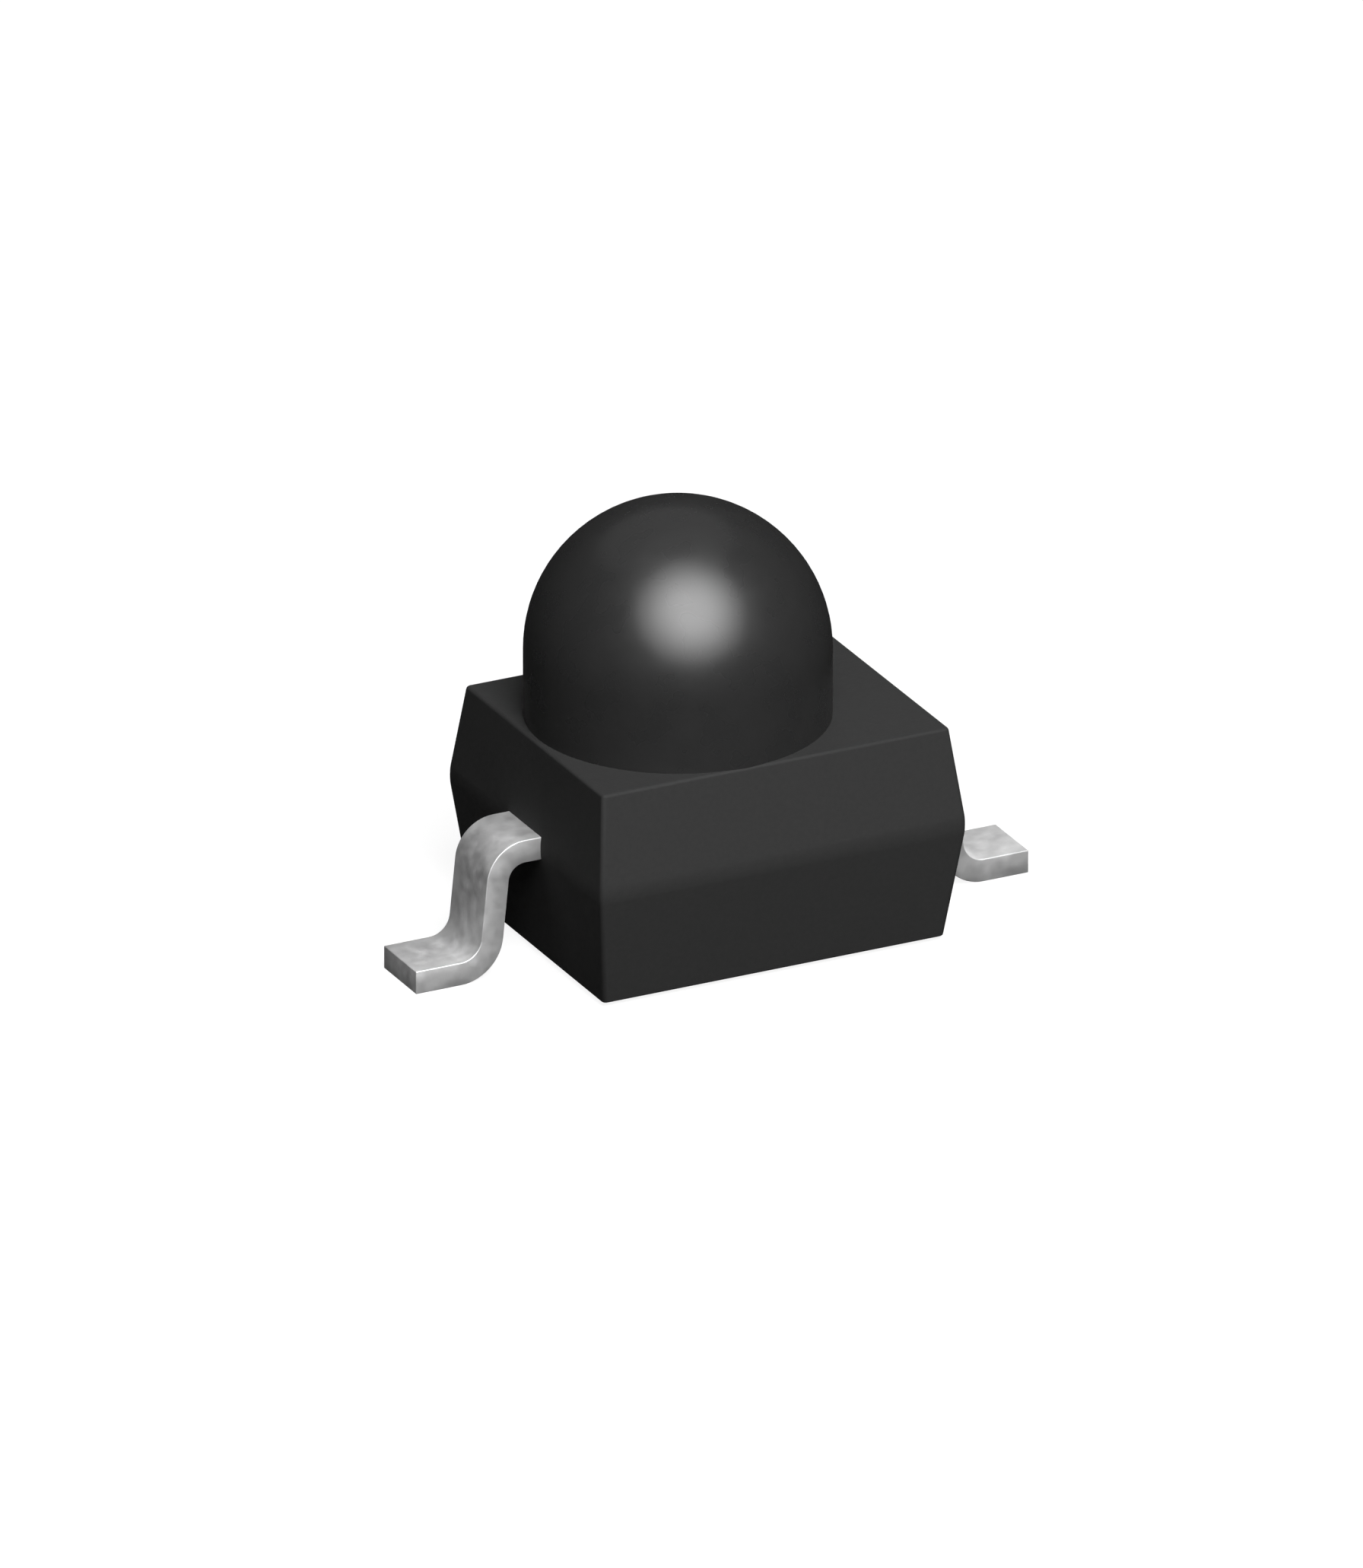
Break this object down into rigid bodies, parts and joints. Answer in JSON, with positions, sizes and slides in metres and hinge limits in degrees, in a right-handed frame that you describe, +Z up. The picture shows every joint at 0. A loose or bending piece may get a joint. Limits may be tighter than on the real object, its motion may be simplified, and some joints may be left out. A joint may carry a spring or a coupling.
{
  "type": "phototransistor",
  "caption": "Surface-mount phototransistor: a black moulded block with a dome lens over its chip and a gull-wing solder lead at either end.",
  "frame": {"origin": "midway between the two feet, on the solder plane", "axes": "+X from the collector lead to the emitter lead, +Y across the block, +Z up through the lens"},
  "size_m": [0.0042, 0.0022, 0.0028],
  "materials": {
    "moulding": "satin black epoxy moulding that passes infrared light",
    "lead_plating": "matt plated strip",
    "silver_glue": "cured silver-filled glue",
    "silicon": "polished silicon with a metal contact",
    "gold_wire": "drawn gold"
  },
  "bodies": {
    "root": {"package_body": "moulding", "collector_lead": "lead_plating", "emitter_lead": "lead_plating", "die_attach": "silver_glue", "phototransistor_chip": "silicon", "bond_wire": "gold_wire"}
  },
  "joints": []
}
